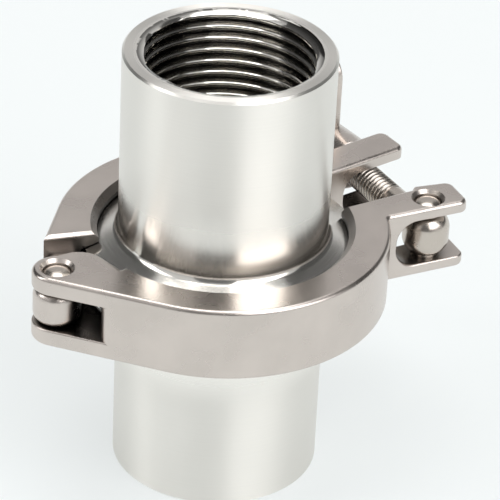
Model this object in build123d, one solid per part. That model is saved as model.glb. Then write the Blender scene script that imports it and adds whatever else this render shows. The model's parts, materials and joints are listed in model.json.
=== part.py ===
from build123d import *
import os
from math import asin, cos, radians, sin, sqrt, tan

# Sanitary clamp union: two ferrules with female pipe threads, a gasket between
# their flanges, and a hinged cast clamp with a swing bolt and a wing nut.
# Frame: the origin is on the bore's axis, halfway through the gasket, +Z runs up
# the bore, +X points to the clamp's bolt and -X to its hinge. Millimetres.

# Ferrules
thread_minor_radius = 15.15
thread_mouth_chamfer = 1.35
thread_bore_depth = 22.0
thread_runout_taper = 30.0
flow_step = 1.65
tube_wall = 3.9
tube_edge_break = 0.4
ferrule_length = 40.9
flange_width = 6.2
flange_rim = 2.85
flange_taper = 20.0
neck_fillet = 1.5

# Gasket, with a bead on both faces that sits in the flanges' grooves
gasket_thickness = 2.0
gasket_bore_margin = 0.1
bead_inset = 3.5
bead_radius = 1.1
bead_groove_clearance = 0.1

# Clamp ring, the same on both halves
clamp_height = 14.0
ring_wall = 4.4
lip_overlap = 2.45
lip_chamfer = 1.2
groove_side_clearance = 0.2
groove_root_clearance = 0.75
edge_round = 0.9
slot_rim_round = 0.4

# Hinge at the clamp's -X side
hinge_offset = 3.5
hinge_angle = 181.5
hinge_pin_radius = 2.55
hinge_boss_wall = 1.95
hinge_ear = 3.4
hinge_slot_reach = 9.4
hinge_slot_end_round = 2.4
tongue_side_clearance = 0.2
knuckle_wall = 1.71
knuckle_edge_round = 1.8
tongue_root_turn = 8.0
ear_back_offset = 4.1
ear_back_length = 4.3
ear_back_round = 5.2
ear_back_slope = -0.1
ear_back_turn = 72.0
shoulder_angle = 165.5
shoulder_offset = 1.1

# Bolt side: the pin, and the two forks that the swing bolt lies in
bolt_offset = 8.1
bolt_pin_y = -8.5
bolt_pin_radius = 2.55
fork_ear = 2.35
fork_slot_flat = 1.3
fork_corner_round = 1.8
fork_root_round = 0.8
front_fork_end = 7.1
front_fork_back = 4.05
front_fork_width = 8.3
front_fork_tilt = 4.8
front_fork_pad = 1.0
front_fork_pad_tilt = 12.0
rear_fork_end = 6.4
rear_fork_front_y = 8.9
rear_fork_width = 7.35
rear_fork_tilt = 7.5
rear_fork_end_lean = 0.5

# Swing bolt and wing nut, lengths along the bolt from its pin
bolt_radius = 3.0
bolt_length = 41.0
bolt_end_chamfer = 0.6
eye_wall = 1.76
eye_side_clearance = 0.35
eye_edge_round = 3.2
nut_seat_gap = 1.1
nut_hub_wall = 2.1
nut_hub_taper = 0.6
nut_hub_length = 11.5
nut_edge_round = 0.5
wing_front = 6.6
wing_tip_height = 19.0
wing_tip_round = 4.0
wing_thickness = 2.3

# Fits
pin_press_clearance = 0.01
pin_running_clearance = 0.04
nut_running_clearance = 0.05
pin_sink = 0.25
pin_dome = 0.75
pin_countersink = 0.6

# Sizes that follow from those above
tube_radius = thread_minor_radius + tube_wall
thread_mouth_radius = thread_minor_radius + thread_mouth_chamfer
flow_radius = thread_minor_radius - flow_step
flange_radius = tube_radius + flange_width
bead_circle_radius = flange_radius - bead_inset
half_gasket = gasket_thickness / 2
half_height = clamp_height / 2
lip_radius = flange_radius - lip_overlap
core_radius = lip_radius - 2 * edge_round
groove_radius = flange_radius + groove_root_clearance
ring_radius = groove_radius + ring_wall
hinge_distance = ring_radius + hinge_offset
hinge_x = hinge_distance * cos(radians(hinge_angle))
hinge_y = hinge_distance * sin(radians(hinge_angle))
hinge_boss_radius = hinge_pin_radius + hinge_boss_wall
hinge_slot_height = clamp_height - 2 * hinge_ear
knuckle_radius = hinge_pin_radius + pin_running_clearance + knuckle_wall
bolt_pin_x = ring_radius + bolt_offset
front_fork_end_x = bolt_pin_x + front_fork_end
front_fork_back_y = bolt_pin_y + front_fork_back
rear_fork_end_x = bolt_pin_x + rear_fork_end
fork_slot_height = clamp_height - 2 * fork_ear
fork_slot_round = (fork_slot_height - fork_slot_flat) / 2
eye_radius = bolt_pin_radius + pin_running_clearance + eye_wall
eye_height = fork_slot_height - 2 * eye_side_clearance
nut_hub_radius = bolt_radius + nut_hub_wall
nut_hub_end_radius = nut_hub_radius - nut_hub_taper
far = 3 * hinge_distance
tiny = 0.001


def flange_back(radius):
    """Height of the flange's tapered back above its face at a radius."""
    return flange_rim + (flange_radius - radius) * tan(radians(flange_taper))


def ferrule():
    """A ferrule with its flange face at Z = 0 and its threaded mouth upwards."""
    neck = flange_back(tube_radius)
    runout = flow_step * tan(radians(thread_runout_taper))
    with BuildSketch(Plane.XZ) as outside:
        with BuildLine():
            Polyline(
                (flow_radius, 0),
                (flange_radius, 0),
                (flange_radius, flange_rim),
                (tube_radius, neck),
                (tube_radius, ferrule_length),
                (thread_mouth_radius, ferrule_length),
                (thread_minor_radius, ferrule_length - thread_mouth_chamfer),
                (thread_minor_radius, ferrule_length - thread_bore_depth),
                (flow_radius, ferrule_length - thread_bore_depth - runout),
                close=True,
            )
        make_face()
        neck_corner = outside.vertices().sort_by_distance((tube_radius, 0, neck))[0]
        fillet(neck_corner, neck_fillet)
        rim_corner = outside.vertices().sort_by_distance((tube_radius, 0, ferrule_length))[0]
        chamfer(rim_corner, tube_edge_break)
        with Locations((bead_circle_radius, 0)):
            Circle(bead_radius + bead_groove_clearance, mode=Mode.SUBTRACT)
    return revolve(outside.sketch, Axis.Z)


def gasket():
    """A flat ring with a round bead that stands out of both faces."""
    with BuildSketch(Plane.XZ) as section:
        inner = flow_radius + gasket_bore_margin
        middle = (inner + flange_radius) / 2
        with Locations((middle, 0)):
            Rectangle(flange_radius - inner, gasket_thickness)
        for side in (1, -1):
            with Locations((bead_circle_radius, side * half_gasket)):
                Circle(bead_radius)
    return revolve(section.sketch, Axis.Z)


def clamp_bore():
    """What is cut out of the clamp ring: its bore, lip chamfers and V groove."""
    lip_z = flange_back(lip_radius) + half_gasket + groove_side_clearance
    root_z = flange_back(groove_radius) + half_gasket + groove_side_clearance
    upper = [
        (groove_radius, root_z),
        (lip_radius, lip_z),
        (lip_radius, half_height - lip_chamfer),
        (lip_radius + 2 * lip_chamfer, half_height + lip_chamfer),
        (0, half_height + lip_chamfer),
    ]
    lower = [(radius, -height) for radius, height in reversed(upper)]
    with BuildSketch(Plane.XZ) as section:
        with BuildLine():
            Polyline(*upper, *lower, close=True)
        make_face()
    return revolve(section.sketch, Axis.Z)


def ring_and_boss(boss_radius):
    """Plan of the whole ring with straight walls running to the hinge boss."""
    circles = Circle(ring_radius) + Pos(hinge_x, hinge_y) * Circle(boss_radius)
    return make_hull(circles.edges())


def rounded(plan, corners, radius):
    """A plan with its corners nearest the given places rounded."""
    for x, y in corners:
        corner = plan.vertices().sort_by_distance((x, y, 0))[0]
        plan = fillet(corner, radius)
    return plan


def ring_place(y):
    """Where the ring's outer wall has a Y, on the bolt side."""
    return sqrt(ring_radius**2 - y**2), y


def upright(plan):
    """A plan drawn out to the clamp's height, with its outer edges rounded."""
    body = extrude(Pos(0, 0, -half_height) * (plan - Circle(core_radius)), clamp_height)
    level = body.edges().group_by(Axis.Z)
    return fillet(level[0] + level[-1], edge_round)


def level_slot(height, direction, start, end_round=0):
    """A slot, open outwards, that starts at a place and runs along a direction."""
    across = (direction[1], -direction[0], 0)
    side_plane = Plane((start[0], start[1], 0), (direction[0], direction[1], 0), across)
    section = Pos(far / 2, 0) * Rectangle(far, height)
    if end_round:
        section = fillet(section.vertices().group_by(Axis.X)[0], end_round)
    return extrude(side_plane * section, far / 2, both=True)


def pin_hole(x, y, radius):
    """The hole for a pin through both ears, countersunk at both ends."""
    hole = Cylinder(radius, 2 * clamp_height)
    depth = pin_countersink + edge_round
    for side in (1, -1):
        sink = Rot(90 - 90 * side) * Cone(radius, radius + depth, depth)
        hole += Pos(0, 0, side * (half_height - pin_countersink + depth / 2)) * sink
    return Pos(x, y, 0) * hole


def front_plan():
    """Plan of the front half: ring, hinge ears and bolt fork."""
    ear_top = hinge_y + ear_back_offset
    bend_x = hinge_x + ear_back_length
    with BuildSketch() as behind:
        with BuildLine():
            turn = JernArc((bend_x, ear_top), (1, ear_back_slope), ear_back_round, -ear_back_turn)
            down = Line(turn @ 1, turn @ 1 + (turn % 1) * ear_back_round)
            Polyline(
                down @ 1,
                (0, front_fork_back_y),
                (far, front_fork_back_y),
                (far, far),
                (-far, far),
                (-far, hinge_y),
                (hinge_x, hinge_y),
                (hinge_x, ear_top),
                turn @ 0,
            )
        make_face()
    ears = ring_and_boss(hinge_boss_radius) - behind.sketch
    boss = Pos(hinge_x, hinge_y) * Circle(hinge_boss_radius)
    plan = ears + boss + front_fork_plan()
    return rounded(plan, [ring_place(front_fork_back_y - front_fork_width)], fork_root_round)


def front_fork_plan():
    """Plan of the fork that carries the bolt pin."""
    lean = tan(radians(front_fork_tilt))
    front_y = front_fork_back_y - front_fork_width
    pad_y = front_fork_back_y + front_fork_pad
    pad_drop = front_fork_end * tan(radians(front_fork_pad_tilt))
    end_lean = front_fork_width * lean
    corners = [
        (tube_radius, front_fork_back_y),
        (bolt_pin_x - front_fork_pad, front_fork_back_y),
        (bolt_pin_x, pad_y),
        (front_fork_end_x, pad_y - pad_drop),
        (front_fork_end_x - end_lean, front_y),
        (tube_radius, front_y + (front_fork_end_x - end_lean - tube_radius) * lean),
    ]
    plan = make_face(Polyline(*corners, close=True))
    plan = rounded(plan, corners[1:3], front_fork_pad / 2)
    return rounded(plan, corners[3:5], fork_corner_round)


def rear_plan():
    """Plan of the rear half's full height part: ring and nut fork."""
    turn = radians(shoulder_angle)
    shift = (sin(turn) * shoulder_offset, -cos(turn) * shoulder_offset)
    ahead = make_face(Polyline(
        shift,
        (cos(turn) * far + shift[0], sin(turn) * far + shift[1]),
        (-far, -far),
        (far, -far),
        (far, rear_fork_y(far)),
        (0, rear_fork_y(0)),
        close=True,
    ))
    plan = ring_and_boss(hinge_boss_radius) - ahead + rear_fork_plan()
    return rounded(plan, [ring_place(rear_fork_y(tube_radius) + rear_fork_width)], fork_root_round)


def rear_fork_y(x):
    """Y of the rear fork's front side at an X."""
    return rear_fork_front_y + (x - bolt_pin_x) * tan(radians(rear_fork_tilt))


def nut_seat_y():
    """Y of the wing nut's seat, clear of the rear fork when the bolt swings out."""
    outer_x = bolt_pin_x + nut_hub_radius
    return rear_fork_y(outer_x) + rear_fork_width + nut_seat_gap


def rear_fork_plan():
    """Plan of the fork that the swing bolt closes into."""
    back_end_x = rear_fork_end_x - rear_fork_end_lean
    corners = [
        (tube_radius, rear_fork_y(tube_radius)),
        (rear_fork_end_x, rear_fork_y(rear_fork_end_x)),
        (back_end_x, rear_fork_y(back_end_x) + rear_fork_width),
        (tube_radius, rear_fork_y(tube_radius) + rear_fork_width),
    ]
    plan = make_face(Polyline(*corners, close=True))
    return rounded(plan, corners[1:3], fork_corner_round)


def front_half():
    """The front clamp half, with a fork at both ends and holes for both pins."""
    body = bolt_slot(hinge_slot(upright(front_plan()) - clamp_bore()))
    body -= pin_hole(hinge_x, hinge_y, hinge_pin_radius + pin_press_clearance)
    body -= pin_hole(bolt_pin_x, bolt_pin_y, bolt_pin_radius + pin_press_clearance)
    return body


def hinge_slot(body):
    """The front half with its hinge slot, whose edges on the straight wall are rounded."""
    wall_x, wall_y = hinge_wall()
    end = (hinge_x + wall_x * hinge_slot_reach, hinge_y + wall_y * hinge_slot_reach)
    body = (body - level_slot(hinge_slot_height, (-wall_x, -wall_y), end)).solid()
    place = (hinge_x + wall_y * hinge_boss_radius, hinge_y - wall_x * hinge_boss_radius)
    mouth = wall_edges(body, place, (wall_y, -wall_x), hinge_slot_height)
    body = body.fillet(hinge_slot_end_round, mouth.filter_by(Axis.Z))
    mouth = wall_edges(body, place, (wall_y, -wall_x), hinge_slot_height)
    return body.fillet(slot_rim_round, mouth.filter_by(Plane.XY))


def bolt_slot(body):
    """The front half with the slot for the swing bolt, rounded on its front face."""
    start = (ring_radius, front_fork_back_y)
    body = (body - level_slot(fork_slot_height, (1, 0), start, fork_slot_round)).solid()
    lean = radians(front_fork_tilt)
    end_x = front_fork_end_x - front_fork_width * tan(lean)
    place = (end_x, front_fork_back_y - front_fork_width)
    mouth = wall_edges(body, place, (sin(lean), cos(lean)), fork_slot_height)
    return body.fillet(slot_rim_round, mouth.filter_by(Plane.XY))


def wall_edges(body, place, normal, slot_height):
    """Straight edges of a slot's mouth, in the upright wall through a place."""
    def in_mouth(edge):
        middle = edge @ 0.5
        away = (middle.X - place[0]) * normal[0] + (middle.Y - place[1]) * normal[1]
        reach = max(abs((edge @ 0).Z), abs((edge @ 1).Z))
        return abs(away) < tiny and reach < slot_height / 2 + tiny

    return body.edges().filter_by(GeomType.LINE).filter_by(in_mouth)


def hinge_wall():
    """Direction of the front half's straight wall, from the hinge to the ring."""
    spread = asin((ring_radius - hinge_boss_radius) / hinge_distance)
    turn = radians(hinge_angle + 180) - spread
    return cos(turn), sin(turn)


def tongue():
    """The rear half's tongue: a web from the ring to the knuckle round the pin."""
    turn = radians(shoulder_angle - tongue_root_turn)
    knuckle = Pos(hinge_x, hinge_y) * Circle(knuckle_radius)
    corner = Circle(knuckle_edge_round + tongue_side_clearance)
    inner = Pos(groove_radius * cos(turn), groove_radius * sin(turn)) * corner
    beyond = ring_radius + knuckle_radius
    outer = Pos(beyond * cos(turn), beyond * sin(turn)) * corner
    zone = make_hull((knuckle + inner + outer).edges())
    plan = (zone & ring_and_boss(knuckle_radius)) - Circle(groove_radius)
    height = hinge_slot_height - 2 * tongue_side_clearance
    body = extrude(Pos(0, 0, -height / 2) * plan, height)
    level = body.edges().group_by(Axis.Z)
    return fillet(level[0] + level[-1], knuckle_edge_round)


def rear_half():
    """The rear clamp half, with a tongue at the hinge and a fork for the bolt."""
    body = upright(rear_plan()) + tongue() - clamp_bore()
    fork_start = (ring_radius, rear_fork_front_y)
    body -= level_slot(fork_slot_height, (1, 0), fork_start, fork_slot_round)
    bore = Cylinder(hinge_pin_radius + pin_running_clearance, clamp_height)
    return body - Pos(hinge_x, hinge_y) * bore


def pin(radius):
    """An upright pin with domed ends just under the ears' faces."""
    top = half_height - pin_sink
    side = top - pin_dome
    with BuildSketch(Plane.XZ) as half_section:
        with BuildLine():
            TangentArc((0, top), (radius, side), tangent=(1, 0))
            Line((radius, side), (radius, -side))
            TangentArc((0, -top), (radius, -side), tangent=(1, 0))
            Line((0, -top), (0, top))
        make_face()
    return revolve(half_section.sketch, Axis.Z)


def swing_bolt():
    """An eye bolt along +Y, with the centre of its eye at the origin."""
    eye = Cylinder(eye_radius, eye_height)
    eye = fillet(eye.edges().filter_by(GeomType.CIRCLE), eye_edge_round)
    shank = Rot(-90) * extrude(Circle(bolt_radius), bolt_length)
    shank = chamfer(shank.edges().group_by(Axis.Y)[-1], bolt_end_chamfer)
    return eye + shank - Cylinder(bolt_pin_radius + pin_running_clearance, 2 * eye_height)


def wing_nut():
    """A wing nut on the +Y axis, with its seat on the plane Y = 0."""
    waist = wing_front / 2
    with BuildSketch() as half_section:
        with BuildLine():
            Polyline(
                (0, 0),
                (nut_hub_radius, 0),
                (nut_hub_radius, waist),
                (nut_hub_end_radius, nut_hub_length),
                (0, nut_hub_length),
                close=True,
            )
        make_face()
        fillet(half_section.vertices().group_by(Axis.X)[1:], nut_edge_round)
    body = revolve(half_section.sketch, Axis.Y)
    for side in (1, -1):
        tip = Pos(wing_front + wing_tip_round, side * (wing_tip_height - wing_tip_round))
        root = Pos((wing_front + nut_hub_length) / 2, 0)
        outline = tip * Circle(wing_tip_round)
        outline += root * Rectangle(nut_hub_length - wing_front, nut_hub_end_radius)
        wing = extrude(make_hull(outline.edges()), wing_thickness / 2, both=True)
        level = wing.edges().group_by(Axis.Z)
        wing = fillet(level[0] + level[-1], nut_edge_round)
        body += Plane.YZ * wing
    return body - Rot(90) * Cylinder(bolt_radius + nut_running_clearance, 3 * nut_hub_length)


PARTS = {
    "upper_ferrule": Pos(0, 0, half_gasket) * ferrule(),
    "lower_ferrule": Pos(0, 0, -half_gasket) * Rot(180) * ferrule(),
    "gasket": gasket(),
    "front_half": front_half(),
    "rear_half": rear_half(),
    "hinge_pin": Pos(hinge_x, hinge_y) * pin(hinge_pin_radius),
    "bolt_pin": Pos(bolt_pin_x, bolt_pin_y) * pin(bolt_pin_radius),
    "swing_bolt": Pos(bolt_pin_x, bolt_pin_y) * swing_bolt(),
    "wing_nut": Pos(bolt_pin_x, nut_seat_y()) * wing_nut(),
}

os.makedirs("parts", exist_ok=True)
for name, solid in PARTS.items():
    export_step(solid, f"parts/{name}.step")
    print(name, solid.is_valid, round(solid.volume))
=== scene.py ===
"""Sanitary clamp union: screw threads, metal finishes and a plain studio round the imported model."""

import json
import math

import bmesh
import bpy
from bpy.props import FloatProperty, IntProperty, PointerProperty, StringProperty
from mathutils import Matrix, Vector


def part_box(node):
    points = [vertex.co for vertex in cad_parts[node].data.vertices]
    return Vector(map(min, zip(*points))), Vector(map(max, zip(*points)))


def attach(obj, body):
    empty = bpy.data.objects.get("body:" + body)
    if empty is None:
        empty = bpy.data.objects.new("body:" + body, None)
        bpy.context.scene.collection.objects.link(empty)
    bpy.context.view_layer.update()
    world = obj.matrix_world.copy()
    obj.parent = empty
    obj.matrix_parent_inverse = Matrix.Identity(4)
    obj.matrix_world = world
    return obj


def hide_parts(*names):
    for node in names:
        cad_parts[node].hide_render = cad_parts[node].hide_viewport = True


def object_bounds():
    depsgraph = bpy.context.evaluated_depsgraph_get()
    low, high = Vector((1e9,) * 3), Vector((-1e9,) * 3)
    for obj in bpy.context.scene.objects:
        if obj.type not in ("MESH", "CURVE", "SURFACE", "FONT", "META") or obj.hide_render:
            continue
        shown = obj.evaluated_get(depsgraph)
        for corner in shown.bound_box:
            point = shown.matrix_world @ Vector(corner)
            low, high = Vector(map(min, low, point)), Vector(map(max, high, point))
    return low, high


bl_info = {
    "name": "Sanitary Clamp Union",
    "version": (1, 0, 0),
    "blender": (4, 5, 0),
    "location": "3D View > Sidebar > Clamp Union",
    "description": "Threads, metal finishes and a studio for a sanitary clamp union",
    "category": "Object",
}

MM = 0.001
FULL_TURN = 2 * math.pi
MERGE_DISTANCE = 0.002 * MM
SHARP_ANGLE = math.radians(40)

# Screw threads. DEPTH is the mesh attribute that is 0 on a thread's crests and 1 at its roots.
DEPTH = "thread_depth"
CREST_FLAT = 0.08
RUN_IN_PITCHES = 1.5
BORE_ROWS = 12
BOLT_ROWS = 10
MOUTH_SLOPE = 3.0
BOLT_END_SLOPE = 1.0
THREAD_BORE_DEPTH = 22.0 * MM

# The ferrule's section.
BORE_TAPER = math.radians(30)
BEAD_INSET = 3.5 * MM
BEAD_GROOVE_RADIUS = 1.2 * MM
RIM_BREAK = 0.2 * MM
# A ring at the mouth that keeps the thread roots' painted shade off the rim.
ROOT_SHADE_EDGE = 0.05 * MM
EDGE_BREAK = 0.4 * MM

# Patterns of the finishes, as noise to the metre, with the size that each gives.
TOOL_RINGS = 3000.0  # a third of a millimetre, coarser than the real feed so that it shows
TURNED_CLOUD = 70.0  # 14 mm
CAST_GRAIN = 2500.0  # 0.4 mm
CAST_CLOUD = 120.0  # 8 mm
MACHINED_MARKS = 700.0  # 1.4 mm
MOULD_BLOOM = 400.0  # 2.5 mm

# Where the ferrule is polished: by its flange, as heights from the gasket, and in its bore.
POLISH_LOW = 11.0 * MM
POLISH_HIGH = 21.0 * MM
POLISH_SHARE = 0.45
BORE_FINISH_END = 16.6 * MM
TUBE_FINISH_START = 17.2 * MM
BORE_POLISH = 0.25
BRUSHING = 0.9
# Painted shade: how dark the thread roots are painted, in the ferrules' bores and on the bolt.
BORE_ROOT_SHADE = 0.25
BOLT_ROOT_SHADE = 0.3
# Reach of the painted shade in the cast metal's hollows and between parts.
PAINTED_SHADE_REACH = 12.0 * MM

# The studio.
FLOOR_RADIUS = 6.0
FLOOR_SIDES = 96
FLOOR_LIFT = 0.65
FLOOR_GLOW = 0.95
BACKDROP = (0.92, 0.96, 0.96, 1.0)
WHITE = (1.0, 1.0, 1.0, 1.0)
AIM_HEIGHT = 0.45 * MM
AIM_RIGHT = 5.07 * MM
AIM_UP = 0.87 * MM

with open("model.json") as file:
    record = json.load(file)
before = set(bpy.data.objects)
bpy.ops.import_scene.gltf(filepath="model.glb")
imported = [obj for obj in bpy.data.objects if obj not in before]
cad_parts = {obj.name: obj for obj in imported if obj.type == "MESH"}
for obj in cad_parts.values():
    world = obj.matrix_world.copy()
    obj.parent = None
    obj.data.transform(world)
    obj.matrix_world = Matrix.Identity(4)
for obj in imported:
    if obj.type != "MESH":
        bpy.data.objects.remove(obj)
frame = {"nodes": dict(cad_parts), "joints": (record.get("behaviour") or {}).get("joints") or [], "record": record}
cad_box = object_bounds()
mounts = {mount["name"]: mount for mount in frame["record"]["mounts"]}
joints = {joint["name"]: joint for joint in frame["joints"]}
ferrule_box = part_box("upper_ferrule")
bolt_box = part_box("swing_bolt")


class FerruleSettings(bpy.types.PropertyGroup):
    """Sizes of the two turned ferrules and of the pipe thread inside them."""

    tube_radius: FloatProperty(
        name="Tube Radius", description="Outer radius of the tube", default=19.05 * MM, unit="LENGTH"
    )
    flange_rim: FloatProperty(
        name="Flange Rim", description="Height of the flange's straight edge",
        default=2.85 * MM, unit="LENGTH",
    )
    flange_taper: FloatProperty(
        name="Flange Taper", description="Slope of the flange's back",
        default=math.radians(20), subtype="ANGLE",
    )
    neck_fillet: FloatProperty(
        name="Neck Fillet", description="Radius between the tube and the flange",
        default=1.5 * MM, unit="LENGTH",
    )
    thread_pitch: FloatProperty(
        name="Thread Pitch", description="Distance from crest to crest, 11 threads to the inch",
        default=2.309 * MM, unit="LENGTH",
    )
    thread_depth: FloatProperty(
        name="Thread Depth", description="From the thread's crest to its root",
        default=1.35 * MM, unit="LENGTH",
    )
    segments: IntProperty(
        name="Segments", description="Flats round the ferrule", default=240, min=24
    )


class BoltSettings(bpy.types.PropertyGroup):
    """Sizes of the swing bolt's thread."""

    radius: FloatProperty(
        name="Bolt Radius", description="Radius over the thread's crests", default=3.0 * MM, unit="LENGTH"
    )
    thread_start: FloatProperty(
        name="Thread Start", description="Distance from the eye's centre to the thread", default=11.5 * MM,
        unit="LENGTH",
    )
    thread_pitch: FloatProperty(
        name="Thread Pitch", description="Distance from crest to crest", default=1.0 * MM, unit="LENGTH"
    )
    thread_depth: FloatProperty(
        name="Thread Depth", description="From the thread's crest to its root",
        default=0.45 * MM, unit="LENGTH",
    )
    segments: IntProperty(
        name="Segments", description="Flats round the bolt", default=96, min=24
    )


class FinishSettings(bpy.types.PropertyGroup):
    """Colours of the metals and the gasket, as sRGB hex values."""

    turned: StringProperty(name="Turned Steel", description="Colour of the ferrules", default="#F5F2EC")
    cast: StringProperty(
        name="Cast Steel", description="Colour of the clamp and wing nut", default="#D1C8C1"
    )
    machined: StringProperty(
        name="Machined Steel", description="Colour of bolt and pins", default="#C8BFB6"
    )
    gasket: StringProperty(name="Gasket", description="Colour of the silicone gasket", default="#E6E6E0")


class StageSettings(bpy.types.PropertyGroup):
    """The floor's colour and the camera."""

    floor: StringProperty(name="Floor", description="Colour of the floor", default="#F6FAFA")
    camera_azimuth: FloatProperty(
        name="Azimuth", description="Turn of the camera round the part", default=math.radians(-31),
        subtype="ANGLE",
    )
    camera_elevation: FloatProperty(
        name="Elevation", description="Height of the camera over the horizon", default=math.radians(31.29),
        subtype="ANGLE",
    )
    camera_roll: FloatProperty(
        name="Roll", description="Turn of the camera about its own line of sight",
        default=math.radians(2.82), subtype="ANGLE",
    )
    camera_distance: FloatProperty(
        name="Distance", description="From the camera to the part", default=566.35 * MM, unit="LENGTH"
    )
    camera_lens: FloatProperty(name="Lens", description="Focal length in millimetres", default=224.4)


def linear_color(hex_value):
    """An sRGB hex value as linear red, green, blue and alpha."""
    parts = [int(hex_value[i:i + 2], 16) / 255 for i in (1, 3, 5)]
    return [c / 12.92 if c <= 0.04045 else ((c + 0.055) / 1.055) ** 2.4 for c in parts] + [1.0]


def add_node(tree, kind, inputs=(), **settings):
    """Adds a node. An input is a value, a socket, or a node whose first output it takes."""
    node = tree.nodes.new(kind)
    for name, value in settings.items():
        setattr(node, name, value)
    for key, value in dict(inputs).items():
        if isinstance(value, bpy.types.Node):
            value = value.outputs[0]
        if isinstance(value, bpy.types.NodeSocket):
            tree.links.new(value, node.inputs[key])
        else:
            node.inputs[key].default_value = value
    return node


def new_material(name):
    """An empty node material, its tree and its output node."""
    material = bpy.data.materials.new(name)
    material.use_nodes = True
    material.node_tree.nodes.clear()
    return material, material.node_tree


def thread_stain(tree, shade, dark):
    """Painted shade: the colour darkened into a thread's roots, where shadow falls between the crests."""
    depth = add_node(tree, "ShaderNodeAttribute", attribute_name=DEPTH, attribute_type="GEOMETRY")
    share = add_node(
        tree, "ShaderNodeMapRange",
        {"Value": depth.outputs["Fac"], "From Min": 0.08, "From Max": 0.8, "To Min": 1.0, "To Max": dark},
    )
    return add_node(tree, "ShaderNodeVectorMath", {0: shade, "Scale": share}, operation="SCALE")


def turned_stainless(color):
    """Lathe-turned 304 stainless, lightly brushed round the tube: light is drawn out along the tube
    in soft upright bands, with faint rings left by the tool. The flange and the bore are polished."""
    material, tree = new_material("turned_stainless")
    place = add_node(tree, "ShaderNodeTexCoord")
    spot = add_node(tree, "ShaderNodeSeparateXYZ", {"Vector": place.outputs["Object"]})
    level = add_node(tree, "ShaderNodeCombineXYZ", {"X": spot.outputs["X"], "Y": spot.outputs["Y"]})
    radius = add_node(tree, "ShaderNodeVectorMath", {0: level}, operation="LENGTH").outputs["Value"]
    feed = add_node(tree, "ShaderNodeMath", {0: spot.outputs["Z"], 1: radius}, operation="ADD")
    rings = add_node(
        tree, "ShaderNodeTexNoise", {"W": feed, "Scale": TOOL_RINGS, "Detail": 2.0},
        noise_dimensions="1D",
    )
    cloud = add_node(
        tree, "ShaderNodeTexNoise", {"Vector": place.outputs["Object"], "Scale": TURNED_CLOUD, "Detail": 3.0}
    )
    mixed = add_node(
        tree, "ShaderNodeMath", {0: rings.outputs["Fac"], 1: cloud.outputs["Fac"]}, operation="ADD"
    )
    rough = add_node(
        tree, "ShaderNodeMapRange",
        {"Value": mixed, "From Min": 0.6, "From Max": 1.4, "To Min": 0.34, "To Max": 0.42},
    )
    off_flange = add_node(tree, "ShaderNodeMath", {0: spot.outputs["Z"]}, operation="ABSOLUTE")
    polish = add_node(
        tree, "ShaderNodeMapRange",
        {"Value": off_flange, "From Min": POLISH_LOW, "From Max": POLISH_HIGH, "To Min": POLISH_SHARE},
        interpolation_type="SMOOTHSTEP",
    )
    outside = add_node(
        tree, "ShaderNodeMapRange",
        {"Value": radius, "From Min": BORE_FINISH_END, "From Max": TUBE_FINISH_START},
    )
    bore_polish = add_node(tree, "ShaderNodeMapRange", {"Value": outside, "To Min": BORE_POLISH})
    neck = add_node(tree, "ShaderNodeMath", {0: rough, 1: polish}, operation="MULTIPLY")
    smooth = add_node(tree, "ShaderNodeMath", {0: neck, 1: bore_polish}, operation="MULTIPLY")
    tone = add_node(
        tree, "ShaderNodeMapRange",
        {"Value": mixed, "From Min": 0.6, "From Max": 1.4, "To Min": 0.97, "To Max": 1.0},
    )
    shade = add_node(
        tree, "ShaderNodeVectorMath", {0: linear_color(color)[:3], "Scale": tone}, operation="SCALE"
    )
    bump = add_node(
        tree, "ShaderNodeBump", {"Height": rings.outputs["Fac"], "Strength": 0.05, "Distance": 0.02 * MM}
    )
    tangent = add_node(tree, "ShaderNodeTangent", direction_type="RADIAL", axis="Z")
    shader = add_node(
        tree, "ShaderNodeBsdfPrincipled",
        {
            # Painted shade: the bore's thread roots are darkened in the base colour.
            "Base Color": thread_stain(tree, shade, BORE_ROOT_SHADE), "Metallic": 1.0, "Roughness": smooth,
            "Normal": bump, "Anisotropic": BRUSHING, "Anisotropic Rotation": 0.25, "Tangent": tangent,
        },
    )
    add_node(tree, "ShaderNodeOutputMaterial", {"Surface": shader})
    return material


def cast_stainless(color):
    """Investment-cast 304 stainless, tumbled bright: a warm grey with a soft gloss, a fine grain
    and painted shade that darkens the colour in hollows and between parts by ambient occlusion."""
    material, tree = new_material("cast_stainless")
    place = add_node(tree, "ShaderNodeTexCoord")
    grain = add_node(
        tree, "ShaderNodeTexNoise", {"Vector": place.outputs["Object"], "Scale": CAST_GRAIN, "Detail": 2.0}
    )
    cloud = add_node(
        tree, "ShaderNodeTexNoise", {"Vector": place.outputs["Object"], "Scale": CAST_CLOUD, "Detail": 3.0}
    )
    rough = add_node(
        tree, "ShaderNodeMapRange",
        {"Value": cloud.outputs["Fac"], "From Min": 0.3, "From Max": 0.7, "To Min": 0.24, "To Max": 0.33},
    )
    tone = add_node(
        tree, "ShaderNodeMapRange",
        {"Value": cloud.outputs["Fac"], "From Min": 0.3, "From Max": 0.7, "To Min": 0.93, "To Max": 1.04},
    )
    shade = add_node(
        tree, "ShaderNodeVectorMath", {0: linear_color(color)[:3], "Scale": tone}, operation="SCALE"
    )
    # Painted shade: ambient occlusion darkens the base colour in hollows and between parts.
    open_share = add_node(
        tree, "ShaderNodeAmbientOcclusion", {"Distance": PAINTED_SHADE_REACH}, samples=8
    )
    dim = add_node(
        tree, "ShaderNodeMapRange",
        {"Value": open_share.outputs["AO"], "From Min": 0.2, "From Max": 0.7, "To Min": 0.08},
    )
    painted_hollow_shade = add_node(tree, "ShaderNodeVectorMath", {0: shade, "Scale": dim}, operation="SCALE")
    bump = add_node(
        tree, "ShaderNodeBump",
        {"Height": grain.outputs["Fac"], "Strength": 0.1, "Distance": 0.03 * MM},
    )
    shader = add_node(
        tree, "ShaderNodeBsdfPrincipled",
        {"Base Color": painted_hollow_shade, "Metallic": 1.0, "Roughness": rough, "Normal": bump},
    )
    add_node(tree, "ShaderNodeOutputMaterial", {"Surface": shader})
    return material


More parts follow.
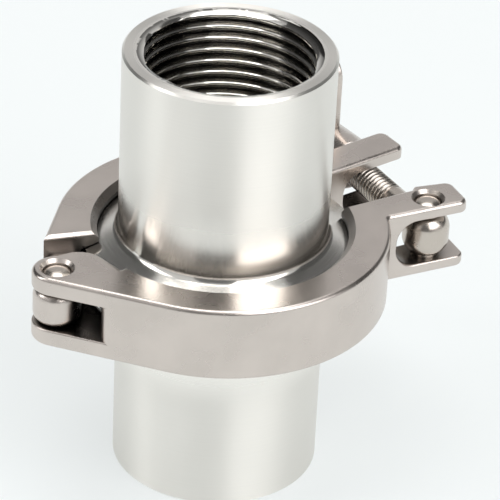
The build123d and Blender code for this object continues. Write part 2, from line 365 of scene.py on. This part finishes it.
def machined_stainless(color):
    """Machined 304 stainless, tumbled to a satin gloss with small soft marks, and painted shade darkening its
    thread roots.
    """
    material, tree = new_material("machined_stainless")
    place = add_node(tree, "ShaderNodeTexCoord")
    marks = add_node(
        tree, "ShaderNodeTexNoise",
        {"Vector": place.outputs["Object"], "Scale": MACHINED_MARKS, "Detail": 4.0},
    )
    rough = add_node(
        tree, "ShaderNodeMapRange",
        {"Value": marks.outputs["Fac"], "From Min": 0.3, "From Max": 0.7, "To Min": 0.2, "To Max": 0.28},
    )
    bump = add_node(
        tree, "ShaderNodeBump", {"Height": marks.outputs["Fac"], "Strength": 0.1, "Distance": 0.03 * MM}
    )
    # Painted shade: the bolt's thread roots are darkened in the base colour.
    shade = thread_stain(tree, linear_color(color)[:3], BOLT_ROOT_SHADE)
    shader = add_node(
        tree, "ShaderNodeBsdfPrincipled",
        {"Base Color": shade, "Metallic": 1.0, "Roughness": rough, "Normal": bump},
    )
    add_node(tree, "ShaderNodeOutputMaterial", {"Surface": shader})
    return material


def moulded_silicone(color):
    """Moulded silicone rubber: milky, soft sheen, faint mould bloom."""
    material, tree = new_material("moulded_silicone")
    place = add_node(tree, "ShaderNodeTexCoord")
    bloom = add_node(
        tree, "ShaderNodeTexNoise", {"Vector": place.outputs["Object"], "Scale": MOULD_BLOOM, "Detail": 3.0}
    )
    rough = add_node(
        tree, "ShaderNodeMapRange",
        {"Value": bloom.outputs["Fac"], "From Min": 0.3, "From Max": 0.7, "To Min": 0.45, "To Max": 0.6},
    )
    bump = add_node(
        tree, "ShaderNodeBump", {"Height": bloom.outputs["Fac"], "Strength": 0.1, "Distance": 0.05 * MM}
    )
    shader = add_node(
        tree, "ShaderNodeBsdfPrincipled",
        {"Base Color": linear_color(color), "Roughness": rough, "Normal": bump},
    )
    add_node(tree, "ShaderNodeOutputMaterial", {"Surface": shader})
    return material


THREAD_INPUTS = {
    "Crest Radius": "NodeSocketFloat",
    "Root Radius": "NodeSocketFloat",
    "End Radius": "NodeSocketFloat",
    "Pitch": "NodeSocketFloat",
    "Turns": "NodeSocketFloat",
    "Length": "NodeSocketFloat",
    "Run In": "NodeSocketFloat",
    "Side": "NodeSocketFloat",
    "End Slope": "NodeSocketFloat",
    "Points Around": "NodeSocketInt",
    "Points Along": "NodeSocketInt",
    "Material": "NodeSocketMaterial",
}


def thread_tree():
    """Geometry nodes that wind a grid into a right-handed screw thread along +Z from the origin.
    Its rows follow the helix. Side is 1 for a thread in a bore and -1 for one on a shaft."""
    tree = bpy.data.node_groups.new("screw_thread", "GeometryNodeTree")
    for name, kind in THREAD_INPUTS.items():
        tree.interface.new_socket(name, in_out="INPUT", socket_type=kind)
    tree.interface.new_socket("Geometry", in_out="OUTPUT", socket_type="NodeSocketGeometry")
    given = add_node(tree, "NodeGroupInput").outputs
    grid = add_node(
        tree, "GeometryNodeMeshGrid",
        {
            "Size X": 1.0, "Size Y": 1.0,
            "Vertices X": given["Points Around"], "Vertices Y": given["Points Along"],
        },
    )
    spot = add_node(
        tree, "ShaderNodeSeparateXYZ", {"Vector": add_node(tree, "GeometryNodeInputPosition")}
    )
    turn = add_node(tree, "ShaderNodeMath", {0: spot.outputs["X"], 1: 0.5}, operation="ADD")
    share = add_node(tree, "ShaderNodeMath", {0: spot.outputs["Y"], 1: 0.5}, operation="ADD")
    row = add_node(tree, "ShaderNodeMath", {0: share, 1: given["Turns"]}, operation="MULTIPLY")
    climb = add_node(tree, "ShaderNodeMath", {0: row, 1: turn}, operation="ADD")
    start = add_node(tree, "ShaderNodeMath", {0: climb, 1: 1.0}, operation="SUBTRACT")
    rise = add_node(tree, "ShaderNodeMath", {0: start, 1: given["Pitch"]}, operation="MULTIPLY")
    height = add_node(
        tree, "ShaderNodeClamp", {"Value": rise, "Min": 0.0, "Max": given["Length"]}
    )
    flank = add_node(tree, "ShaderNodeMath", {0: row, 1: 0.5}, operation="PINGPONG")
    dip = add_node(
        tree, "ShaderNodeMapRange",
        {"Value": flank, "From Min": CREST_FLAT / 2, "From Max": 0.5 - CREST_FLAT / 2},
        interpolation_type="SMOOTHSTEP",
    )
    fade = add_node(
        tree, "ShaderNodeMapRange", {"Value": height, "From Max": given["Run In"]},
        interpolation_type="SMOOTHSTEP",
    )
    depth = add_node(tree, "ShaderNodeMath", {0: dip, 1: fade}, operation="MULTIPLY")
    wound = add_node(
        tree, "ShaderNodeMapRange",
        {"Value": depth, "To Min": given["Crest Radius"], "To Max": given["Root Radius"]},
    )
    to_end = add_node(tree, "ShaderNodeMath", {0: given["Length"], 1: height}, operation="SUBTRACT")
    signed_end = add_node(
        tree, "ShaderNodeMath", {0: given["Side"], 1: given["End Radius"]}, operation="MULTIPLY"
    )
    cut_back = add_node(tree, "ShaderNodeMath", {0: to_end, 1: given["End Slope"]}, operation="MULTIPLY")
    chamfer = add_node(tree, "ShaderNodeMath", {0: signed_end, 1: cut_back}, operation="SUBTRACT")
    signed = add_node(tree, "ShaderNodeMath", {0: given["Side"], 1: wound}, operation="MULTIPLY")
    outer = add_node(tree, "ShaderNodeMath", {0: signed, 1: chamfer}, operation="MAXIMUM")
    radius = add_node(tree, "ShaderNodeMath", {0: outer, 1: given["Side"]}, operation="MULTIPLY")
    angle = add_node(tree, "ShaderNodeMath", {0: turn, 1: FULL_TURN}, operation="MULTIPLY")
    across = add_node(
        tree, "ShaderNodeCombineXYZ",
        {
            "X": add_node(tree, "ShaderNodeMath", {0: angle}, operation="COSINE"),
            "Y": add_node(tree, "ShaderNodeMath", {0: angle}, operation="SINE"),
        },
    )
    level = add_node(tree, "ShaderNodeVectorMath", {0: across, "Scale": radius}, operation="SCALE")
    upright = add_node(tree, "ShaderNodeCombineXYZ", {"Z": height})
    place = add_node(tree, "ShaderNodeVectorMath", {0: level, 1: upright}, operation="ADD")
    # Depth from crest to root, stored for the painted root shade.
    sunk = add_node(
        tree, "ShaderNodeMapRange",
        {"Value": radius, "From Min": given["Crest Radius"], "From Max": given["Root Radius"]},
    )
    depth_stored = add_node(
        tree, "GeometryNodeStoreNamedAttribute", {"Geometry": grid, "Name": DEPTH, "Value": sunk},
        data_type="FLOAT", domain="POINT",
    )
    wrapped = add_node(tree, "GeometryNodeSetPosition", {"Geometry": depth_stored, "Position": place})
    closed = add_node(
        tree, "GeometryNodeMergeByDistance", {"Geometry": wrapped, "Distance": MERGE_DISTANCE}
    )
    real = add_node(tree, "GeometryNodeRealizeInstances", {"Geometry": closed})
    dressed = add_node(
        tree, "GeometryNodeSetMaterial", {"Geometry": real, "Material": given["Material"]}
    )
    add_node(tree, "NodeGroupOutput", {"Geometry": dressed})
    return tree


def thread_mesh(tree, material, segments, steps, **sizes):
    """The plain mesh of a screw thread. Steps are the rows to one pitch of the thread."""
    turns = math.ceil(sizes["Length"] / sizes["Pitch"]) + 1
    values = {
        "Turns": float(turns), "Points Around": segments + 1, "Points Along": turns * steps + 1,
        "Material": material, **sizes,
    }
    carrier = bpy.data.objects.new("thread_carrier", bpy.data.meshes.new("thread_carrier"))
    bpy.context.scene.collection.objects.link(carrier)
    modifier = carrier.modifiers.new("thread", "NODES")
    modifier.node_group = tree
    for item in tree.interface.items_tree:
        if item.in_out == "INPUT":
            modifier[item.identifier] = values[item.name]
    graph = bpy.context.evaluated_depsgraph_get()
    mesh = bpy.data.meshes.new_from_object(carrier.evaluated_get(graph))
    bpy.data.objects.remove(carrier)
    return mesh


def arc(centre, radius, start, end, steps=8):
    """Points of an arc in a section, as radius and height, with its angles in degrees."""
    angles = [math.radians(start + (end - start) * i / steps) for i in range(steps + 1)]
    return [(centre[0] + radius * math.cos(a), centre[1] + radius * math.sin(a)) for a in angles]


def lathe(shape, section, segments):
    """Turns a section round Z into a bmesh, with no caps."""
    rings = []
    for radius, height in section:
        angles = [FULL_TURN * i / segments for i in range(segments)]
        rings.append([
            shape.verts.new((radius * math.cos(a), radius * math.sin(a), height)) for a in angles
        ])
    for low, high in zip(rings, rings[1:]):
        for i in range(segments):
            j = (i + 1) % segments
            shape.faces.new((low[i], low[j], high[j], high[i]))
    return rings


def finished_object(name, shape, material):
    """A smooth-shaded object of one material from a closed bmesh, sharp at its hard edges."""
    bmesh.ops.remove_doubles(shape, verts=shape.verts, dist=MERGE_DISTANCE)
    bmesh.ops.recalc_face_normals(shape, faces=shape.faces)
    for face in shape.faces:
        face.smooth = True
    for edge in shape.edges:
        edge.smooth = edge.calc_face_angle(0.0) < SHARP_ANGLE
    mesh = bpy.data.meshes.new(name)
    shape.to_mesh(mesh)
    shape.free()
    mesh.materials.clear()
    mesh.materials.append(material)
    piece = bpy.data.objects.new(name, mesh)
    bpy.context.scene.collection.objects.link(piece)
    return piece


def finish_of(kind):
    """The material of a finish, made the first time that it is asked for."""
    makers = {
        "turned": turned_stainless, "cast": cast_stainless,
        "machined": machined_stainless, "gasket": moulded_silicone,
    }
    maker = makers[kind]
    color = getattr(bpy.context.scene.union_finish, kind)
    return bpy.data.materials.get(maker.__name__) or maker(color)


def dress(node, kind):
    """Gives a carried-over node its finish."""
    frame["nodes"][node].material_slots[0].material = finish_of(kind)


def ferrule_section(sizes):
    """Section of a ferrule from the thread's inner end to its mouth, with the flange face at 0."""
    flange_radius = ferrule_box[1].x
    length = ferrule_box[1].z - ferrule_box[0].z
    thread_radius = mounts["upper_thread"]["dims"]["r_mm"] * MM
    flow_radius = mounts["flow_bore"]["dims"]["r_mm"] * MM
    mouth_radius = thread_radius + sizes.thread_depth
    thread_end = length - THREAD_BORE_DEPTH
    runout = (thread_radius - flow_radius) * math.tan(BORE_TAPER)
    taper = sizes.flange_taper
    neck = sizes.flange_rim + (flange_radius - sizes.tube_radius) * math.tan(taper)
    reach = sizes.neck_fillet * math.tan((math.pi / 2 - taper) / 2)
    fillet_centre = (sizes.tube_radius + sizes.neck_fillet, neck + reach)
    return [
        (thread_radius, thread_end),
        (flow_radius, thread_end - runout),
        (flow_radius, 0.0),
        *arc((flange_radius - BEAD_INSET, 0.0), BEAD_GROOVE_RADIUS, 180, 0),
        (flange_radius - RIM_BREAK, 0.0),
        (flange_radius, RIM_BREAK),
        (flange_radius, sizes.flange_rim),
        *arc(fillet_centre, sizes.neck_fillet, 270 - math.degrees(taper), 180),
        (sizes.tube_radius, length - EDGE_BREAK),
        (sizes.tube_radius - EDGE_BREAK, length),
        (mouth_radius + ROOT_SHADE_EDGE, length),
        (mouth_radius, length),
    ]


class UNION_OT_ferrules(bpy.types.Operator):
    """Builds both ferrules, each turned from its section with a helical pipe thread in its bore"""

    bl_idname = "union.ferrules"
    bl_label = "Ferrules"

    def execute(self, context):
        sizes = context.scene.union_ferrule
        section = ferrule_section(sizes)
        turned = finish_of("turned")
        thread_radius, thread_end = section[0]
        mouth_radius, length = section[-1]
        thread = thread_mesh(
            thread_tree(), turned, sizes.segments, BORE_ROWS,
            **{
                "Crest Radius": thread_radius, "Root Radius": mouth_radius, "End Radius": mouth_radius,
                "Pitch": sizes.thread_pitch, "Length": length - thread_end,
                "Run In": RUN_IN_PITCHES * sizes.thread_pitch, "Side": 1.0, "End Slope": MOUTH_SLOPE,
            },
        )
        thread.transform(Matrix.Translation((0, 0, thread_end)))
        face = ferrule_box[0].z
        places = {
            "upper_ferrule": Matrix.Translation((0, 0, face)),
            "lower_ferrule": Matrix.Translation((0, 0, -face)) @ Matrix.Rotation(math.pi, 4, "X"),
        }
        for node, place in places.items():
            shape = bmesh.new()
            shape.from_mesh(thread)
            lathe(shape, section, sizes.segments)
            bmesh.ops.transform(shape, matrix=place, verts=shape.verts)
            ferrule = finished_object(f"{node}_threaded", shape, turned)
            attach(ferrule, "union")
            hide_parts(node)
        return {"FINISHED"}


class UNION_OT_swing_bolt(bpy.types.Operator):
    """Builds the swing bolt: a machined eye on a threaded shank"""

    bl_idname = "union.swing_bolt"
    bl_label = "Swing Bolt"

    def execute(self, context):
        sizes = context.scene.union_bolt
        pin = Vector(joints["bolt_swing"]["pos_m"])
        machined = finish_of("machined")
        dress("swing_bolt", "machined")
        start = pin.y + sizes.thread_start
        length = bolt_box[1].y - start
        root = sizes.radius - sizes.thread_depth
        thread = thread_mesh(
            thread_tree(), machined, sizes.segments, BOLT_ROWS,
            **{
                "Crest Radius": sizes.radius, "Root Radius": root, "End Radius": root,
                "Pitch": sizes.thread_pitch, "Length": length,
                "Run In": RUN_IN_PITCHES * sizes.thread_pitch, "Side": -1.0, "End Slope": BOLT_END_SLOPE,
            },
        )
        shape = bmesh.new()
        shape.from_mesh(frame["nodes"]["swing_bolt"].data)
        bmesh.ops.remove_doubles(shape, verts=shape.verts, dist=MERGE_DISTANCE)
        everything = shape.verts[:] + shape.edges[:] + shape.faces[:]
        bmesh.ops.bisect_plane(
            shape, geom=everything, plane_co=(0, start, 0), plane_no=(0, 1, 0), clear_outer=True
        )
        shank = bmesh.new()
        shank.from_mesh(thread)
        end = [e for e in shank.edges if e.is_boundary and e.verts[0].co.z > length / 2]
        bmesh.ops.contextual_create(shank, geom=end)
        shank_place = Matrix.Translation((pin.x, start, pin.z)) @ Matrix.Rotation(-math.pi / 2, 4, "X")
        bmesh.ops.transform(shank, matrix=shank_place, verts=shank.verts)
        joined = bpy.data.meshes.new("shank")
        shank.to_mesh(joined)
        shank.free()
        shape.from_mesh(joined)
        rim = [e for e in shape.edges if e.is_boundary]
        bmesh.ops.bridge_loops(shape, edges=rim)
        bolt = finished_object("swing_bolt_threaded", shape, machined)
        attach(bolt, "bolt")
        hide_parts("swing_bolt")
        return {"FINISHED"}


class UNION_OT_clamp(bpy.types.Operator):
    """Gives the cast clamp halves and the wing nut their tumbled finish"""

    bl_idname = "union.clamp"
    bl_label = "Clamp Halves and Wing Nut"

    def execute(self, context):
        for node in ("front_half", "rear_half", "wing_nut"):
            dress(node, "cast")
        return {"FINISHED"}


class UNION_OT_pins(bpy.types.Operator):
    """Gives both pins their machined finish"""

    bl_idname = "union.pins"
    bl_label = "Pins"

    def execute(self, context):
        for node in ("hinge_pin", "bolt_pin"):
            dress(node, "machined")
        return {"FINISHED"}


class UNION_OT_gasket(bpy.types.Operator):
    """Gives the gasket its silicone finish"""

    bl_idname = "union.gasket"
    bl_label = "Gasket"

    def execute(self, context):
        dress("gasket", "gasket")
        return {"FINISHED"}


def add_floor(color):
    """A wide pale floor under the part. What is seen of it, also in the metal, is lifted towards
    white, and it keeps the part's shadow."""
    shape = bmesh.new()
    bmesh.ops.create_circle(shape, cap_ends=True, segments=FLOOR_SIDES, radius=FLOOR_RADIUS)
    mesh = bpy.data.meshes.new("floor")
    shape.to_mesh(mesh)
    shape.free()
    mesh.transform(Matrix.Translation((0, 0, cad_box[0].z)))
    material, tree = new_material("studio_floor")
    shader = add_node(tree, "ShaderNodeBsdfDiffuse", {"Color": linear_color(color)})
    path = add_node(tree, "ShaderNodeLightPath").outputs
    direct = add_node(
        tree, "ShaderNodeMath", {0: path["Is Camera Ray"], 1: path["Is Glossy Ray"]}, operation="MAXIMUM"
    )
    seen = add_node(
        tree, "ShaderNodeMath", {0: direct, 1: path["Is Transmission Ray"]}, operation="MAXIMUM"
    )
    lift = add_node(tree, "ShaderNodeMath", {0: seen, 1: FLOOR_LIFT}, operation="MULTIPLY")
    glow = add_node(tree, "ShaderNodeEmission", {"Color": linear_color(color), "Strength": FLOOR_GLOW})
    lit = add_node(tree, "ShaderNodeMixShader", {"Fac": lift, 1: shader, 2: glow})
    add_node(tree, "ShaderNodeOutputMaterial", {"Surface": lit})
    mesh.materials.append(material)
    floor = bpy.data.objects.new("floor", mesh)
    bpy.context.scene.collection.objects.link(floor)


def direction(azimuth, elevation):
    """The way out from the part. Azimuth 0 is in front of it and a quarter turn at its right."""
    return Vector((
        math.sin(azimuth) * math.cos(elevation),
        -math.cos(azimuth) * math.cos(elevation),
        math.sin(elevation),
    ))


def add_softbox(name, azimuth, elevation, distance, size, radiance):
    """A rectangular lamp that faces the part."""
    back = direction(math.radians(azimuth), math.radians(elevation))
    lamp = bpy.data.lights.new(name, "AREA")
    lamp.shape = "RECTANGLE"
    lamp.size, lamp.size_y = size
    lamp.energy = radiance * math.pi * size[0] * size[1]
    holder = bpy.data.objects.new(name, lamp)
    turn = back.to_track_quat("Z", "Y").to_matrix().to_4x4()
    holder.matrix_world = Matrix.Translation(back * distance) @ turn
    bpy.context.scene.collection.objects.link(holder)


# The studio's cards, from the furthest to the nearest: middle azimuth, half width, lowest and
# highest elevation in degrees, and radiance. The camera stands at azimuth -31. They start over the
# horizon, where no level view of the part reaches them, and the windows start higher still, so
# that upright tubes don't mirror them straight into a level view.
CARDS = (
    ("ceiling", 0, 180, 60, 90, 0.60),
    ("low_wall", 0, 180, 6, 30, 0.45),
    ("left_room", -84, 30, 24, 60, 0.60),
    ("right_room", 49, 10, 24, 60, 0.60),
    ("front_wall", -31, 27, 6, 60, 0.15),
    ("right_window", 15, 28, 22, 72, 3.4),
    ("left_window", -114, 10, 22, 60, 3.7),
    ("right_wall", 92, 37, 6, 60, 0.08),
    ("left_wall", -155, 28, 6, 60, 0.08),
    ("back_wall", 149, 27, 6, 60, 0.58),
)
CARD_DISTANCE = 4.0
CARD_SPACING = 0.1
CARD_STEPS = 24


def add_card(name, distance, azimuth, half_width, low, high, radiance):
    """A curved card round the part, which shines as a wall or a window of the studio does."""
    shape = bmesh.new()
    rows = []
    for i in range(CARD_STEPS + 1):
        elevation = math.radians(low + (high - low) * i / CARD_STEPS)
        turns = [
            math.radians(azimuth + half_width * (2 * j / CARD_STEPS - 1)) for j in range(CARD_STEPS + 1)
        ]
        rows.append([shape.verts.new(direction(turn, elevation) * distance) for turn in turns])
    for below, above in zip(rows, rows[1:]):
        for j in range(CARD_STEPS):
            shape.faces.new((below[j], below[j + 1], above[j + 1], above[j]))
    mesh = bpy.data.meshes.new(name)
    shape.to_mesh(mesh)
    shape.free()
    material, tree = new_material(f"studio_{name}")
    glow = add_node(tree, "ShaderNodeEmission", {"Color": WHITE, "Strength": radiance})
    add_node(tree, "ShaderNodeOutputMaterial", {"Surface": glow})
    mesh.materials.append(material)
    card = bpy.data.objects.new(name, mesh)
    bpy.context.scene.collection.objects.link(card)


def add_surroundings():
    """The studio's cards, and a plain pale world behind them."""
    world = bpy.data.worlds.new("studio")
    bpy.context.scene.world = world
    world.use_nodes = True
    tree = world.node_tree
    tree.nodes.clear()
    shader = add_node(tree, "ShaderNodeBackground", {"Color": BACKDROP, "Strength": 1.0})
    add_node(tree, "ShaderNodeOutputWorld", {"Surface": shader})
    for i, (name, *card) in enumerate(CARDS):
        add_card(name, CARD_DISTANCE - i * CARD_SPACING, *card)


def add_camera(sizes):
    """A long lens at the photograph's angle, with its roll."""
    azimuth, elevation, roll = sizes.camera_azimuth, sizes.camera_elevation, sizes.camera_roll
    back = direction(azimuth, elevation)
    level = Vector((math.cos(azimuth), math.sin(azimuth), 0.0))
    upright = back.cross(level)
    target = Vector((0, 0, AIM_HEIGHT)) + level * AIM_RIGHT + upright * AIM_UP
    right = level * math.cos(roll) + upright * math.sin(roll)
    up = upright * math.cos(roll) - level * math.sin(roll)
    camera = bpy.data.cameras.new("camera")
    camera.lens = sizes.camera_lens
    camera.clip_start, camera.clip_end = 0.05, 20.0
    holder = bpy.data.objects.new("camera", camera)
    turned = Matrix((right, up, back)).transposed().to_4x4()
    holder.matrix_world = Matrix.Translation(target + back * sizes.camera_distance) @ turned
    bpy.context.scene.collection.objects.link(holder)
    bpy.context.scene.camera = holder


class UNION_OT_stage(bpy.types.Operator):
    """Sets up the floor, the lamp, the studio round the part and the camera"""

    bl_idname = "union.stage"
    bl_label = "Studio and Camera"

    def execute(self, context):
        sizes = context.scene.union_stage
        add_floor(sizes.floor)
        add_softbox("top_softbox", 149, 80, 0.8, (0.5, 0.5), 3.0)
        add_surroundings()
        add_camera(sizes)
        context.scene.view_settings.view_transform = "Standard"
        return {"FINISHED"}


class UNION_PT_panel(bpy.types.Panel):
    """Lists the pieces of the union in the sidebar"""

    bl_idname = "UNION_PT_panel"
    bl_label = "Clamp Union"
    bl_space_type = "VIEW_3D"
    bl_region_type = "UI"
    bl_category = "Clamp Union"

    def draw(self, context):
        for operator in OPERATORS:
            self.layout.operator(operator.bl_idname)
        for group in SETTINGS:
            for name in SETTINGS[group].__annotations__:
                self.layout.prop(getattr(context.scene, group), name)


SETTINGS = {
    "union_ferrule": FerruleSettings,
    "union_bolt": BoltSettings,
    "union_finish": FinishSettings,
    "union_stage": StageSettings,
}
OPERATORS = (
    UNION_OT_ferrules, UNION_OT_swing_bolt, UNION_OT_clamp, UNION_OT_pins, UNION_OT_gasket,
    UNION_OT_stage,
)


def register():
    for kind in (*SETTINGS.values(), *OPERATORS, UNION_PT_panel):
        bpy.utils.register_class(kind)
    for name, kind in SETTINGS.items():
        setattr(bpy.types.Scene, name, PointerProperty(type=kind))


def unregister():
    for name in SETTINGS:
        delattr(bpy.types.Scene, name)
    for kind in reversed((*SETTINGS.values(), *OPERATORS, UNION_PT_panel)):
        bpy.utils.unregister_class(kind)


def main():
    register()
    bpy.ops.union.ferrules()
    bpy.ops.union.swing_bolt()
    bpy.ops.union.clamp()
    bpy.ops.union.pins()
    bpy.ops.union.gasket()
    bpy.ops.union.stage()


if __name__ == "__main__":
    main()
